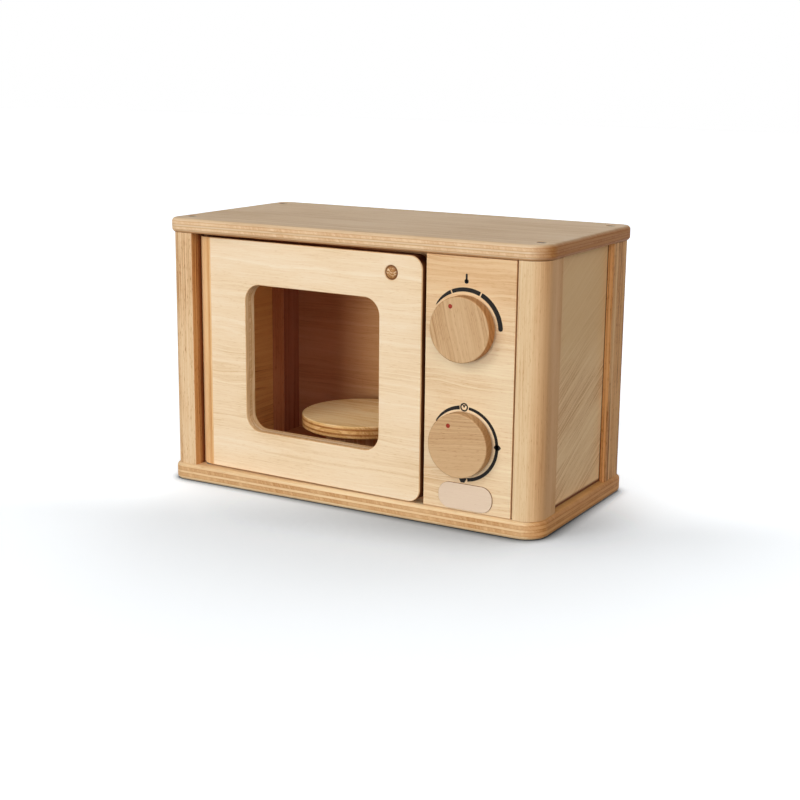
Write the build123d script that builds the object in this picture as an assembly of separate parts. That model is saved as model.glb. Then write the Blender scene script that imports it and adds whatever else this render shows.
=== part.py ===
from build123d import *
import os

# Wooden toy microwave in millimetres.
# The origin is the centre of the base board's underside, +X is the viewer's right,
# +Y is the back and +Z is up, so the door and the knobs face -Y.

# Overall box of the two boards
overall_width = 324.0
overall_depth = 162.0
overall_height = 211.0
base_thickness = 13.5
top_thickness = 11.5
board_corner_radius = 9.5
control_corner_radius = 18.0
board_edge_round = 3.1
board_overhang = 2.0

# Corner posts, with grooves that hold the thin walls
post_width = 19.9
post_depth = 31.5
post_corner_radius = 8.0
control_post_radius = 14.0
post_edge_ease = 0.5
wall_thickness = 3.0
wall_recess = 5.1
groove_depth = 6.0
groove_clearance = 0.15
wall_end_gap = 0.3

# Control panel, its dowels and the divider behind it
control_setback = 0.3
control_width = 71.0
control_thickness = 10.5
control_gap = 1.15
control_end_gap = 0.3
control_edge_ease = 0.4
divider_thickness = 6.0
dado_depth = 3.0
dowel_radius = 3.0
dowel_in_board = 7.5
dowel_in_panel = 10.0
dowel_place_shares = (0.25, 0.8)

# Door, a plywood frame with a rounded hinge edge and a window
door_setback = 5.7
door_thickness = 10.8
door_hinge_gap = 0.9
door_free_gap = 1.8
door_top_gap = 2.5
door_base_gap = 0.9
door_edge_ease = 0.6
door_corner_radius = 10.0
hinge_round_length = 12.3
hinge_round_depth = 5.2
hinge_stile = 47.0
free_stile = 36.2
cross_rail = 33.7
window_corner_radius = 13.0
door_ajar_angle = 2.2

# Hinge pins, short dowels, and the felt washer that carries the door
hinge_inset = 6.5
hinge_pin_radius = 2.5
hinge_pin_in_board = 8.0
hinge_pin_in_door = 12.0
hinge_washer_radius = 4.0
hinge_washer_thickness = 0.6

# Magnetic catch
catch_from_free_edge = 26.0
catch_from_top = 13.7
plug_radius = 5.35
plug_rise = 0.7
plug_dome_radius = 12.0
plug_bore_ease = 0.4
magnet_radius = 5.0
magnet_thickness = 3.0
stop_gap = 0.5
stop_block_length = 36.5
stop_block_height = 26.0
stop_block_depth = 14.0
striker_radius = 5.0
striker_thickness = 2.0
block_ease = 1.0

# Knobs, each on a dowel spindle that a collar holds behind the panel
knob_from_control_edge = 32.1
temperature_knob_drop = 51.1
timer_knob_rise = 50.9
knob_radius = 23.7
knob_thickness = 9.5
knob_front_round = 1.0
knob_back_round = 1.0
knob_gap = 0.6
spindle_radius = 5.0
spindle_in_knob = 6.0
collar_radius = 13.0
collar_thickness = 8.0
collar_chamfer = 1.0
felt_radius = 11.0
felt_thickness = 1.5
felt_hole_gap = 0.3

# Bare plate below the lower knob
badge_width = 43.5
badge_height = 19.5
badge_corner_radius = 9.0
badge_thickness = 1.0
badge_edge_round = 0.35
badge_shift = 2.7
badge_rise = 1.4

# Turntable on its square pedestal
turntable_shift_x = 7.9
turntable_shift_y = 1.8
pedestal_side = 45.5
pedestal_height = 28.2
plate_radius = 50.2
plate_thickness = 10.2
plate_rim_round = 1.2
turntable_spindle_radius = 5.0
turntable_spindle_in_plate = 6.5
turntable_spindle_in_pedestal = 18.0
turntable_felt_radius = 12.0
turntable_felt_thickness = 0.9

# Countersunk cross-head screws
screw_radius = 1.8
screw_head_radius = 3.8
screw_head_height = 2.6
screw_length = 34.0
screw_tip_length = 4.0
screw_sink = 0.35
short_screw_radius = 1.5
short_screw_head_radius = 3.0
short_screw_head_height = 2.0
short_screw_length = 18.0
short_screw_tip_length = 3.0
cross_width = 0.9
cross_depth = 1.3
cross_span_share = 0.62
pedestal_screw_share = 0.3

# Fits and tool overrun
running_clearance = 0.06
press_clearance = 0.02
screw_clearance = 0.1
running_gap = 0.3
overrun = 1.0

# Places that follow from the sizes above
half_width = overall_width / 2
half_depth = overall_depth / 2
floor_z = base_thickness
ceiling_z = overall_height - top_thickness

post_outer_x = half_width - board_overhang
post_outer_y = half_depth - board_overhang
post_inner_x = post_outer_x - post_width
post_inner_y = post_outer_y - post_depth
post_middle_x = (post_outer_x + post_inner_x) / 2
post_middle_y = (post_outer_y + post_inner_y) / 2

wall_outer_x = post_outer_x - wall_recess
wall_inner_x = wall_outer_x - wall_thickness
wall_outer_y = post_outer_y - wall_recess
wall_inner_y = wall_outer_y - wall_thickness

control_face_y = control_setback - post_outer_y
control_right = post_inner_x - control_gap
control_left = control_right - control_width
control_back_y = control_face_y + control_thickness
divider_right = control_left + divider_thickness

door_face_y = door_setback - post_outer_y
door_left = door_hinge_gap - post_inner_x
door_right = control_left - door_free_gap
door_bottom = floor_z + door_base_gap
door_top = ceiling_z - door_top_gap
door_back_y = door_face_y + door_thickness
hinge_x = door_left + hinge_inset
hinge_y = door_face_y + door_thickness / 2
catch_x = door_right - catch_from_free_edge
catch_z = door_top - catch_from_top

knob_x = control_left + knob_from_control_edge
temperature_knob_z = ceiling_z - temperature_knob_drop
timer_knob_z = floor_z + timer_knob_rise

turntable_x = (control_left - wall_inner_x) / 2 + turntable_shift_x
turntable_y = (door_back_y + wall_inner_y) / 2 + turntable_shift_y
pedestal_top = floor_z + pedestal_height
plate_bottom = pedestal_top + turntable_felt_thickness + running_gap
plate_top = plate_bottom + plate_thickness

pin_seat_radius = hinge_pin_radius + press_clearance
pin_bore_radius = hinge_pin_radius + running_clearance
dowel_bore_radius = dowel_radius + press_clearance
plug_bore_radius = plug_radius + press_clearance
spindle_seat_radius = spindle_radius + press_clearance
spindle_bore_radius = spindle_radius + running_clearance

corners = [(x, y) for x in (-1, 1) for y in (-1, 1)]
hinge_axis = Axis((hinge_x, hinge_y, 0), (0, 0, 1))


def block(low, high):
    """Box between two opposite corners."""
    sizes = [b - a for a, b in zip(low, high)]
    centre = [(a + b) / 2 for a, b in zip(low, high)]
    return Pos(*centre) * Box(*sizes)


def upright(x, y, low_z, high_z, radius):
    """Cylinder along Z between two heights."""
    return Pos(x, y, (low_z + high_z) / 2) * Cylinder(radius, high_z - low_z)


def along_y(x, z, low_y, high_y, radius):
    """Cylinder along Y between two depths."""
    return Pos(x, (low_y + high_y) / 2, z) * Rot(90, 0, 0) * Cylinder(radius, high_y - low_y)


def screw_body(radius, head_radius, head_height, length, tip_length, grow=0):
    """Countersunk screw that points down from a head whose top is at zero."""
    shank_end = tip_length - length
    shank = upright(0, 0, shank_end - grow, 0, radius + grow)
    head = Pos(0, 0, -head_height / 2) * Cone(radius + grow, head_radius + grow, head_height)
    tip = Pos(0, 0, shank_end - grow - tip_length / 2) * Cone(grow + radius / 4, radius + grow, tip_length)
    return shank + head + tip


def cross_recess(head_radius):
    """Cross-shaped socket in a screw head, sunk from zero."""
    span = 2 * head_radius * cross_span_share
    bar = Box(span, cross_width, 2 * cross_depth)
    return bar + Rot(0, 0, 90) * bar


def screw():
    body = screw_body(screw_radius, screw_head_radius, screw_head_height, screw_length, screw_tip_length)
    return body - cross_recess(screw_head_radius)


def screw_room():
    """Pilot hole and countersink for a screw, open above its head."""
    hole = screw_body(
        screw_radius, screw_head_radius, screw_head_height, screw_length, screw_tip_length, screw_clearance
    )
    return hole + upright(0, 0, 0, screw_sink + overrun, screw_head_radius + screw_clearance)


def top_screw_place(side_x, side_y):
    """Head of the screw that goes down into a post."""
    return Pos(side_x * post_middle_x, side_y * post_middle_y, overall_height - screw_sink)


def base_screw_place(side_x, side_y):
    """Head of the screw that goes up into a post."""
    return Pos(side_x * post_middle_x, side_y * post_middle_y, screw_sink) * Rot(180, 0, 0)


def pedestal_screw_places():
    """Heads of the two screws that go up into the pedestal."""
    step = pedestal_side * pedestal_screw_share
    return [Pos(turntable_x + side * step, turntable_y, screw_sink) * Rot(180, 0, 0) for side in (-1, 1)]


def base_screw_places():
    return [base_screw_place(*corner) for corner in corners] + pedestal_screw_places()


def top_screw_places():
    return [top_screw_place(*corner) for corner in corners]


def short_screw_body(grow=0):
    return screw_body(
        short_screw_radius,
        short_screw_head_radius,
        short_screw_head_height,
        short_screw_length,
        short_screw_tip_length,
        grow,
    )


def short_screw_room():
    """Pilot hole and countersink for a short screw, open above its head."""
    hole = short_screw_body(screw_clearance)
    return hole + upright(0, 0, 0, screw_sink + overrun, short_screw_head_radius + screw_clearance)


def board_blank(low_z, thickness):
    """Plywood board with rounded edges and corners, the front right corner rounder than the others."""
    outline = RectangleRounded(overall_width, overall_depth, board_corner_radius)
    rounder = RectangleRounded(2 * overall_width, 2 * overall_depth, control_corner_radius)
    outline &= Pos(-overall_width / 2, overall_depth / 2) * rounder
    board = Pos(0, 0, low_z) * extrude(outline, thickness)
    rims = board.faces().sort_by(Axis.Z)
    return fillet(rims[0].edges() + rims[-1].edges(), board_edge_round)


def dado(low_z, high_z):
    """Groove across a board for the divider's end."""
    low = (control_left - groove_clearance, control_back_y - groove_clearance, low_z)
    high = (divider_right + groove_clearance, wall_inner_y + groove_clearance, high_z)
    return block(low, high)


def dowel_places():
    """Centres of the dowels along the control panel's width."""
    middle_y = (control_face_y + control_back_y) / 2
    return [(control_left + share * control_width, middle_y) for share in dowel_place_shares]


def base_board():
    board = board_blank(0, base_thickness)
    board -= dado(floor_z - dado_depth, floor_z + overrun)
    board -= upright(hinge_x, hinge_y, floor_z - hinge_pin_in_board, floor_z + overrun, pin_seat_radius)
    for x, y in dowel_places():
        board -= upright(x, y, floor_z - dowel_in_board, floor_z + overrun, dowel_bore_radius)
    for place in base_screw_places():
        board -= place * screw_room()
    return board


def top_board():
    board = board_blank(ceiling_z, top_thickness)
    board -= dado(ceiling_z - overrun, ceiling_z + dado_depth)
    board -= upright(hinge_x, hinge_y, ceiling_z - overrun, ceiling_z + hinge_pin_in_board, pin_seat_radius)
    for x, y in dowel_places():
        board -= upright(x, y, ceiling_z - overrun, ceiling_z + dowel_in_board, dowel_bore_radius)
    for place in top_screw_places():
        board -= place * screw_room()
    return board


def side_wall(side, grow=0):
    """Thin side wall, or the room for it when it grows into its grooves."""
    reach = post_inner_y + groove_depth - wall_end_gap + 2 * grow
    ends = sorted((side * (wall_inner_x - grow), side * (wall_outer_x + grow)))
    low = (ends[0], -reach, floor_z + wall_end_gap - 2 * grow)
    high = (ends[1], reach, ceiling_z - wall_end_gap + 2 * grow)
    return block(low, high)


def back_wall(grow=0):
    """Thin back wall, or the room for it when it grows into its grooves."""
    reach = post_inner_x + groove_depth - wall_end_gap + 2 * grow
    low = (-reach, wall_inner_y - grow, floor_z + wall_end_gap - 2 * grow)
    high = (reach, wall_outer_y + grow, ceiling_z - wall_end_gap + 2 * grow)
    return block(low, high)


def post(side_x, side_y):
    """Corner post with a large outer round and eased inner edges."""
    xs = sorted((side_x * post_inner_x, side_x * post_outer_x))
    ys = sorted((side_y * post_inner_y, side_y * post_outer_y))
    body = block((xs[0], ys[0], floor_z), (xs[1], ys[1], ceiling_z))
    outward = Axis((0, 0, 0), (side_x * post_outer_x, side_y * post_outer_y, 0))
    inner_edges = body.edges().filter_by(Axis.Z).sort_by(outward)[:-1]
    body = fillet(inner_edges, post_edge_ease)
    outer_edge = body.edges().filter_by(Axis.Z).sort_by(outward)[-1]
    at_controls = side_x > 0 and side_y < 0
    body = fillet(outer_edge, control_post_radius if at_controls else post_corner_radius)
    body -= side_wall(side_x, groove_clearance)
    if side_y > 0:
        body -= back_wall(groove_clearance)
    body -= top_screw_place(side_x, side_y) * screw_room()
    body -= base_screw_place(side_x, side_y) * screw_room()
    return body


def control_panel():
    low = (control_left, control_face_y, floor_z + control_end_gap)
    high = (control_right, control_back_y, ceiling_z - control_end_gap)
    panel = block(low, high)
    front = panel.faces().sort_by(Axis.Y)[0]
    panel = fillet(front.edges(), control_edge_ease)
    for z in (temperature_knob_z, timer_knob_z):
        bore_front_y = control_face_y - overrun
        panel -= along_y(knob_x, z, bore_front_y, control_back_y + overrun, spindle_bore_radius)
    for x, y in dowel_places():
        panel -= upright(x, y, floor_z, floor_z + dowel_in_panel, dowel_bore_radius)
        panel -= upright(x, y, ceiling_z - dowel_in_panel, ceiling_z, dowel_bore_radius)
    return panel


def panel_dowels():
    """Four blind dowels that hold the control panel between the boards."""
    dowels = []
    for x, y in dowel_places():
        low = floor_z - dowel_in_board + press_clearance
        dowels.append(upright(x, y, low, floor_z + dowel_in_panel - press_clearance, dowel_radius))
        high = ceiling_z + dowel_in_board - press_clearance
        dowels.append(upright(x, y, ceiling_z - dowel_in_panel + press_clearance, high, dowel_radius))
    return Compound(dowels)


def stop_block_low():
    return (control_left - stop_block_length, door_back_y + stop_gap, ceiling_z - stop_block_height)


def stop_screw_place():
    """Head of the screw that comes through the divider into the stop block."""
    x, y, z = stop_block_low()
    middle = Pos(divider_right - screw_sink, y + stop_block_depth / 2, z + stop_block_height / 2)
    return middle * Rot(0, 90, 0)


def divider_panel():
    low = (control_left, control_back_y, floor_z - dado_depth + groove_clearance)
    high = (divider_right, wall_inner_y - running_gap, ceiling_z + dado_depth - groove_clearance)
    return block(low, high) - stop_screw_place() * short_screw_room()


def door_stop_block():
    low = stop_block_low()
    high = (control_left, low[1] + stop_block_depth, ceiling_z)
    body = block(low, high)
    front = body.faces().sort_by(Axis.Y)[0]
    lowest_edge = front.edges().sort_by(Axis.Z)[0]
    free_edge = front.edges().sort_by(Axis.X)[0]
    body = fillet([lowest_edge, free_edge], block_ease)
    seat = striker_radius + press_clearance
    body -= along_y(catch_x, catch_z, low[1] - overrun, low[1] + striker_thickness, seat)
    return body - stop_screw_place() * short_screw_room()


def striker_plate():
    front_y = door_back_y + stop_gap
    return along_y(catch_x, catch_z, front_y, front_y + striker_thickness - press_clearance, striker_radius)


def ajar(shape):
    """Turn a closed door piece to where the door stands a little open."""
    return shape.rotate(hinge_axis, -door_ajar_angle)


def door_outline():
    """Plan of the door, with the long round on its hinge edge."""
    round_start = (door_left + hinge_round_length, door_face_y)
    round_end = (door_left, door_face_y + hinge_round_depth)
    hinge_round = TangentArc(round_start, round_end, tangent=(-1, 0))
    back_corners = ((door_left, door_back_y), (door_right, door_back_y))
    straight_sides = Polyline(round_end, *back_corners, (door_right, door_face_y), round_start)
    return make_face(hinge_round + straight_sides)


def door_window():
    low_x = door_left + hinge_stile
    high_x = door_right - free_stile
    low_z = door_bottom + cross_rail
    high_z = door_top - cross_rail
    outline = RectangleRounded(high_x - low_x, high_z - low_z, window_corner_radius)
    middle = Pos((low_x + high_x) / 2, door_back_y + overrun, (low_z + high_z) / 2)
    return middle * Rot(90, 0, 0) * extrude(outline, door_thickness + 2 * overrun)


def door_panel():
    panel = Pos(0, 0, door_bottom) * extrude(door_outline(), door_top - door_bottom)
    free_side = panel.faces().sort_by(Axis.X)[-1]
    panel = fillet(free_side.edges().filter_by(Axis.Y), door_corner_radius)
    panel -= door_window()
    front = panel.faces().filter_by(Axis.Y).sort_by(Axis.Y)[0]
    hinge_line = front.outer_wire().edges().sort_by(Axis.X)[0]
    eased = [edge for edge in front.edges() if edge != hinge_line]
    panel = fillet(eased, door_edge_ease)
    bore_ends = (
        (door_bottom - overrun, door_bottom + hinge_pin_in_door),
        (door_top - hinge_pin_in_door, door_top + overrun),
    )
    for low_z, high_z in bore_ends:
        panel -= upright(hinge_x, hinge_y, low_z, high_z, pin_bore_radius)
    panel -= along_y(catch_x, catch_z, door_face_y - overrun, door_back_y + overrun, plug_bore_radius)
    eased_rim = Pos(catch_x, door_face_y + plug_bore_ease / 2, catch_z) * Rot(-90, 0, 0)
    panel -= eased_rim * Cone(plug_bore_radius + plug_bore_ease, plug_bore_radius, plug_bore_ease)
    return ajar(panel)


def magnet_plug():
    """Domed dowel end that closes the catch hole at the door's front."""
    back_y = door_back_y - magnet_thickness - press_clearance
    crown_y = door_face_y - plug_rise
    dowel = along_y(catch_x, catch_z, crown_y - overrun, back_y, plug_radius)
    dome = Pos(catch_x, crown_y + plug_dome_radius, catch_z) * Sphere(plug_dome_radius)
    return ajar(dowel & dome)


def door_magnet():
    return ajar(along_y(catch_x, catch_z, door_back_y - magnet_thickness, door_back_y, magnet_radius))


def lower_hinge_pin():
    low = floor_z - hinge_pin_in_board + press_clearance
    return upright(hinge_x, hinge_y, low, door_bottom + hinge_pin_in_door - running_gap, hinge_pin_radius)


def upper_hinge_pin():
    high = ceiling_z + hinge_pin_in_board - press_clearance
    return upright(hinge_x, hinge_y, door_top - hinge_pin_in_door + running_gap, high, hinge_pin_radius)


def hinge_washer():
    """Washer on the lower pin, between the base board and the door."""
    high = floor_z + hinge_washer_thickness
    ring = upright(hinge_x, hinge_y, floor_z, high, hinge_washer_radius)
    return ring - upright(hinge_x, hinge_y, floor_z - overrun, high + overrun, pin_seat_radius)


def knob(z):
    """Flat turned knob with a rounded front edge and a blind hole for its spindle."""
    back_y = control_face_y - knob_gap
    front_y = back_y - knob_thickness
    disc = along_y(knob_x, z, front_y, back_y, knob_radius)
    disc = fillet(disc.faces().sort_by(Axis.Y)[0].edges(), knob_front_round)
    disc = fillet(disc.faces().sort_by(Axis.Y)[-1].edges(), knob_back_round)
    return disc - along_y(knob_x, z, back_y - spindle_in_knob, back_y + overrun, spindle_seat_radius)


def felt_back_y():
    return control_back_y + running_gap + felt_thickness


def collar_back_y():
    return felt_back_y() + collar_thickness


def spindle_back_y():
    """Inner end of a spindle, just under the collar screw's head."""
    return collar_back_y() - screw_sink - short_screw_head_height


def collar_screw_place(z):
    return Pos(knob_x, collar_back_y() - screw_sink, z) * Rot(-90, 0, 0)


def knob_spindle(z):
    front_y = control_face_y - knob_gap - spindle_in_knob + press_clearance
    dowel = along_y(knob_x, z, front_y, spindle_back_y(), spindle_radius)
    return dowel - collar_screw_place(z) * short_screw_body(screw_clearance)


def knob_collar(z):
    """Wooden disc on the spindle's inner end, recessed for the screw head."""
    disc = along_y(knob_x, z, felt_back_y(), collar_back_y(), collar_radius)
    disc = chamfer(disc.faces().sort_by(Axis.Y)[-1].edges(), collar_chamfer)
    disc -= along_y(knob_x, z, felt_back_y() - overrun, spindle_back_y(), spindle_seat_radius)
    return disc - collar_screw_place(z) * short_screw_room()


def knob_felt(z):
    front_y = control_back_y + running_gap
    hole = spindle_radius + felt_hole_gap
    ring = along_y(knob_x, z, front_y, felt_back_y(), felt_radius)
    return ring - along_y(knob_x, z, front_y - overrun, felt_back_y() + overrun, hole)


def short_screw(place):
    return place * (short_screw_body() - cross_recess(short_screw_head_radius))


def badge_plate():
    """Bare plate glued on the control panel below the lower knob."""
    outline = RectangleRounded(badge_width, badge_height, badge_corner_radius)
    middle = Pos(knob_x + badge_shift, control_face_y, floor_z + badge_rise + badge_height / 2)
    plate = middle * Rot(90, 0, 0) * extrude(outline, badge_thickness)
    return fillet(plate.faces().sort_by(Axis.Y)[0].edges(), badge_edge_round)


def turntable_pedestal():
    half = pedestal_side / 2
    low = (turntable_x - half, turntable_y - half, floor_z)
    high = (turntable_x + half, turntable_y + half, pedestal_top)
    body = block(low, high)
    body = fillet(body.edges().filter_by(Axis.Z), block_ease)
    bore_bottom = pedestal_top - turntable_spindle_in_pedestal
    bore = turntable_spindle_radius + running_clearance
    body -= upright(turntable_x, turntable_y, bore_bottom, pedestal_top + overrun, bore)
    for place in pedestal_screw_places():
        body -= place * screw_room()
    return body


def turntable_felt():
    high = pedestal_top + turntable_felt_thickness
    ring = upright(turntable_x, turntable_y, pedestal_top, high, turntable_felt_radius)
    hole = turntable_spindle_radius + felt_hole_gap
    return ring - upright(turntable_x, turntable_y, pedestal_top - overrun, high + overrun, hole)


def turntable_plate():
    disc = upright(turntable_x, turntable_y, plate_bottom, plate_top, plate_radius)
    faces = disc.faces().sort_by(Axis.Z)
    disc = fillet(faces[0].edges() + faces[-1].edges(), plate_rim_round)
    hole_top = plate_bottom + turntable_spindle_in_plate
    hole = turntable_spindle_radius + press_clearance
    return disc - upright(turntable_x, turntable_y, plate_bottom - overrun, hole_top, hole)


def turntable_spindle():
    low = pedestal_top - turntable_spindle_in_pedestal + running_gap
    high = plate_bottom + turntable_spindle_in_plate - press_clearance
    return upright(turntable_x, turntable_y, low, high, turntable_spindle_radius)


def housing():
    nodes = {"base_board": base_board(), "top_board": top_board()}
    for front, side_y in (("front", -1), ("back", 1)):
        for side, side_x in (("left", -1), ("right", 1)):
            nodes[f"{front}_{side}_post"] = post(side_x, side_y)
    nodes["left_side_panel"] = side_wall(-1)
    nodes["right_side_panel"] = side_wall(1)
    nodes["back_panel"] = back_wall()
    nodes["control_panel"] = control_panel()
    nodes["panel_dowels"] = panel_dowels()
    nodes["divider_panel"] = divider_panel()
    nodes["badge_plate"] = badge_plate()
    nodes["top_screws"] = Compound([place * screw() for place in top_screw_places()])
    nodes["base_screws"] = Compound([place * screw() for place in base_screw_places()])
    return nodes


def door_fittings():
    return {
        "door_panel": door_panel(),
        "magnet_plug": magnet_plug(),
        "door_magnet": door_magnet(),
        "upper_hinge_pin": upper_hinge_pin(),
        "lower_hinge_pin": lower_hinge_pin(),
        "hinge_washer": hinge_washer(),
        "door_stop_block": door_stop_block(),
        "striker_plate": striker_plate(),
        "stop_block_screw": short_screw(stop_screw_place()),
    }


def knob_pieces():
    nodes = {}
    for name, z in (("temperature", temperature_knob_z), ("timer", timer_knob_z)):
        nodes[f"{name}_knob"] = knob(z)
        nodes[f"{name}_spindle"] = knob_spindle(z)
        nodes[f"{name}_collar"] = knob_collar(z)
        nodes[f"{name}_felt_washer"] = knob_felt(z)
        nodes[f"{name}_collar_screw"] = short_screw(collar_screw_place(z))
    return nodes


def turntable_pieces():
    return {
        "turntable_pedestal": turntable_pedestal(),
        "turntable_felt_washer": turntable_felt(),
        "turntable_plate": turntable_plate(),
        "turntable_spindle": turntable_spindle(),
    }


os.makedirs("parts", exist_ok=True)
for pieces in (housing(), door_fittings(), knob_pieces(), turntable_pieces()):
    for node, shape in pieces.items():
        export_step(shape, f"parts/{node}.step")
print(f"hinge axis at x {hinge_x:.2f}, y {hinge_y:.2f}")
print(f"knobs at x {knob_x:.2f}, z {temperature_knob_z:.2f} and {timer_knob_z:.2f}")
print(f"control panel's face at y {control_face_y:.2f}")
print(f"turntable at x {turntable_x:.2f}, y {turntable_y:.2f}, top z {plate_top:.2f}")
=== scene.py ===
import math

import bmesh
import bpy
from mathutils import Matrix, Vector


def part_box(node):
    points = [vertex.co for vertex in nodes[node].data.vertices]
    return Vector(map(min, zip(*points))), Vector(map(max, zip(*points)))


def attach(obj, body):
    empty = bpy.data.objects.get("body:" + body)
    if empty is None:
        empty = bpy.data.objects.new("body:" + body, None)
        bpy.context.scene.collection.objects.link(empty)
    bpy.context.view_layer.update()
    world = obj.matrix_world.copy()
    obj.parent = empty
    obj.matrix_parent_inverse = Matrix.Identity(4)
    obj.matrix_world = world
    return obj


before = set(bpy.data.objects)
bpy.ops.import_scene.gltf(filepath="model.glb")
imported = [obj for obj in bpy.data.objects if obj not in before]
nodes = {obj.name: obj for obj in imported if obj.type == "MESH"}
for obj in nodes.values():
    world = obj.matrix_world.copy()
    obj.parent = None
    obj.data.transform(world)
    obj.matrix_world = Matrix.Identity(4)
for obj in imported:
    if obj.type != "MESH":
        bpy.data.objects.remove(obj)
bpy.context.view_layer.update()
mm = 0.001
perMm = 1000.0  # object coordinates are in metres, and the patterns below are sized in millimetres

# The door stands a little open at rest, so its wood is laid out along its own face
doorAjar = math.radians(2.2)
rightWay = Vector((1, 0, 0))
backWay = Vector((0, 1, 0))
upWay = Vector((0, 0, 1))
doorRight = Vector((math.cos(doorAjar), -math.sin(doorAjar), 0))
doorBack = Vector((math.sin(doorAjar), math.cos(doorAjar), 0))


def toLinear(hexColour):
    channels = [int(hexColour[i:i + 2], 16) / 255 for i in (1, 3, 5)]
    return [c / 12.92 if c <= 0.04045 else ((c + 0.055) / 1.055) ** 2.4 for c in channels] + [1.0]


def addNode(tree, kind, settings=None, links=None):
    node = tree.nodes.new("ShaderNode" + kind)
    for key, value in (settings or {}).items():
        if key == "stops":  # colour ramp: (position, hex colour)
            ramp = node.color_ramp
            while len(ramp.elements) < len(value):
                ramp.elements.new(1.0)
            for element, (position, colour) in zip(ramp.elements, value):
                element.position = position
                element.color = toLinear(colour)
        elif key == "blendMode":
            node.color_ramp.interpolation = value
        elif isinstance(key, str) and key[0].islower():
            setattr(node, key, value)
        else:
            node.inputs[key].default_value = value
    for key, source in (links or {}).items():
        socket = source if isinstance(source, bpy.types.NodeSocket) else source.outputs[0]
        tree.links.new(socket, node.inputs[key])
    return node


def newMaterial(name):
    material = bpy.data.materials.new(name)
    material.use_nodes = True
    material.node_tree.nodes.clear()
    return material, material.node_tree


def finishMaterial(tree, settings, links):
    shader = addNode(tree, "BsdfPrincipled", settings, links)
    addNode(tree, "OutputMaterial", {}, {"Surface": shader})


def dressNode(node, material):
    nodes[node].data.materials.clear()
    nodes[node].data.materials.append(material)


def thickness(node, normal):
    reach = [vertex.co @ normal for vertex in nodes[node].data.vertices]
    return min(reach), max(reach)


# Where a wood is darker or warmer than its own face. Each condition is a place in metres, or a share of the
# normal, along an axis, with the value where the tint starts and the value where it is full.
# Most of these tints are painted shade in gaps, in recesses and inside the toy; the others change the wood's
# tone
doorFront = thickness("door_panel", doorBack)[0]
# Painted shade on the door's free and top edges, dark as in a gap, and the cut strip beside its hinge
freeEdgeShade = (("Object", doorBack, doorFront + 0.6 * mm, doorFront + 1.6 * mm),
            ("Object", doorRight, 0.04, 0.045), ("Normal", doorRight, 0.2, 0.6))
topEdgeShade = (("Object", doorBack, doorFront + 0.4 * mm, doorFront + 1.2 * mm),
           ("Object", upWay, 0.185, 0.19), ("Normal", upWay, 0.3, 0.7))
hingeStrip = (("Object", doorRight, -0.1231, -0.1233), ("Normal", doorBack, -0.2, -0.5))
# The control panel's upper part, and painted shade on its left edge, dark as in a gap
panelTop = (("Object", upWay, 0.135, 0.185),)
panelLeftShade = (("Normal", rightWay, -0.3, -0.8),)
# The base board inside the cavity, in painted shade, and its ledge beside the right side panel
cavityFloorShade = (("Normal", upWay, 0.8, 0.95), ("Object", backWay, -0.064, -0.058),
               ("Object", backWay, 0.074, 0.070), ("Object", rightWay, -0.156, -0.150),
               ("Object", rightWay, 0.156, 0.150))
rightLedge = (("Normal", upWay, 0.5, 0.9), ("Object", rightWay, 0.150, 0.156))
# The right side panel: painted shade where it meets the base board and the back post, and greyer higher up
wallFootShade = (("Object", upWay, 0.0168, 0.0150),)
wallEndShade = (("Object", backWay, 0.0460, 0.0472),)
wallTop = (("Object", upWay, 0.095, 0.140), ("Normal", rightWay, 0.5, 0.9))
# The back panel's left part, the turntable's rim, and the front left post behind the door's hinge
# Painted shade on the inner face of the back panel's left part
backLeftShade = (("Object", rightWay, -0.045, -0.105), ("Normal", backWay, -0.5, -0.9))
tableRim = (("Normal", upWay, 0.8, 0.4),)
# Painted shade on the front left post's inner face behind the door's hinge
postRevealShade = (("Object", backWay, -0.0740, -0.0685), ("Normal", rightWay, 0.5, 0.9))

# Birch plywood under satin lacquer: pale and fine, with soft growth lines on the faces and striped edges.
# Each dictionary is one finish, and its colours run from the darkest streak to the lightest.
birchFace = {
    "streaks": ("#DDB98A", "#F0D4AE", "#F7E2C4"),
    "crossStreaks": ("#CF9F68", "#EDC998", "#F5D8AE"),  # the veneers that lie crossways, seen at the edges
    "endGrain": ("#D2A470", "#EFCB9A"),
    "insideShade": None,    # painted shade on faces that look into the toy
    "sideShade": None,      # painted shade on faces that look to the right
    "edgeTint": None,      # colour, and the normal's share through the thickness where it starts and is full
    "calm": None,          # height in mm where the figure starts to fade and has faded, and the share left
    "faceEnds": None,      # place along the grain, in mm, where the face veneer of the door has been cut away
    "shades": (),          # tint and its conditions
    "figureSpacing": 5.0,  # mm between the soft growth lines of peeled birch
    "figureWave": 5.0,     # mm that they wander
    "figureRun": 60.0,     # mm along the grain between two bends
    "figureShare": 0.48,
    "lineShare": 0.18,     # thin late-wood lines between the soft ones
    "fibreWidth": 0.9,     # mm: real fibres are finer, drawn as coarse as they show
    "fibreLength": 22.0,
    "fibreShare": 0.50,
    "poreShare": 0.20,
    "cloudShare": 0.50,
    "roughness": 0.56,
    "grainDepth": 0.035,   # mm
}
birchDoor = dict(birchFace, faceEnds=-123.2,
                 shades=(("#7E5236", freeEdgeShade), ("#7E5236", topEdgeShade), ("#FBF3E8", hingeStrip)))
birchControl = dict(birchFace, streaks=("#D2A878", "#E9CBA3", "#F2DCB6"), figureShare=0.55, figureSpacing=3.4,
                    figureWave=4.5, figureRun=50.0, lineShare=0.16, cloudShare=0.6,
                    shades=(("#F7EADC", panelTop), ("#6A3C24", panelLeftShade)))
birchTop = dict(birchFace, streaks=("#C7A279", "#DCBC95", "#E4C9A7"),
                crossStreaks=("#D0A272", "#E6C498", "#F2D8B0"), endGrain=("#D6AC80", "#E8C8A0"),
                insideShade="#F0D4B8", sideShade="#C8A073", figureShare=0.5, figureRun=110.0)
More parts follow.
